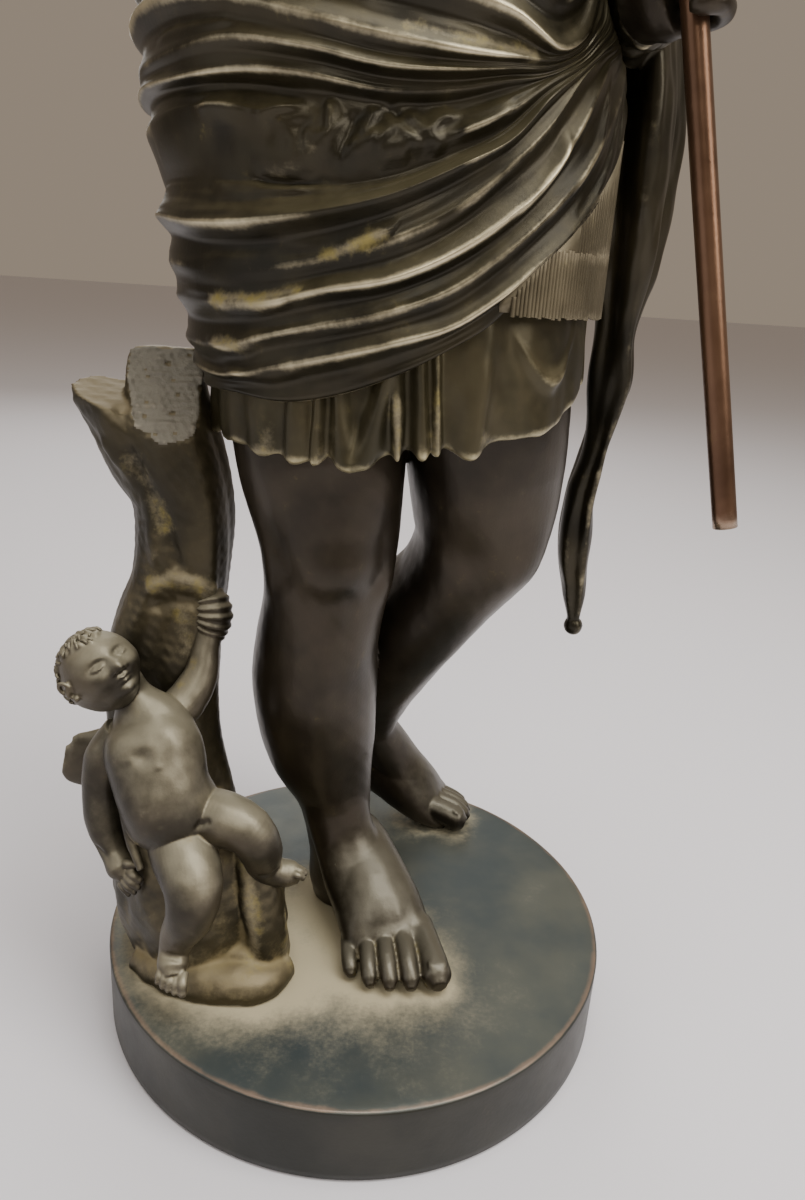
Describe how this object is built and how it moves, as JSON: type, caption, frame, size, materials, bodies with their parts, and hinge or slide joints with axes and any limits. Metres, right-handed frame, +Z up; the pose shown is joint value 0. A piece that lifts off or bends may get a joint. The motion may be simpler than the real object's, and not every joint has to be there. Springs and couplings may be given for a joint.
{
  "type": "bronze roman emperor statue",
  "caption": "Standing bronze man in a cuirass, tunic and cloak on a round plinth, holding a staff and a roll, with a winged child astride a forked tree stump beside him.",
  "frame": {"origin": "centre of the plinth's underside", "axes": "+Z up through the plinth's centre, -Y towards the viewer whom the statue faces, +X to that viewer's right, which is the statue's left"},
  "size_m": [0.1527, 0.14, 0.3982],
  "materials": {
    "plinth_bronze": "dark grey-green patina, worn bright at the rim",
    "figure_bronze": "brown-black patina, rubbed paler on the crests",
    "staff_bronze": "copper-brown, handled smooth",
    "stump_bronze": "brown-black patina with ochre dust in the hollows"
  },
  "bodies": {
    "root": {"plinth": "plinth_bronze", "emperor_figure": "figure_bronze", "staff": "staff_bronze", "child_on_stump": "stump_bronze"}
  },
  "joints": []
}
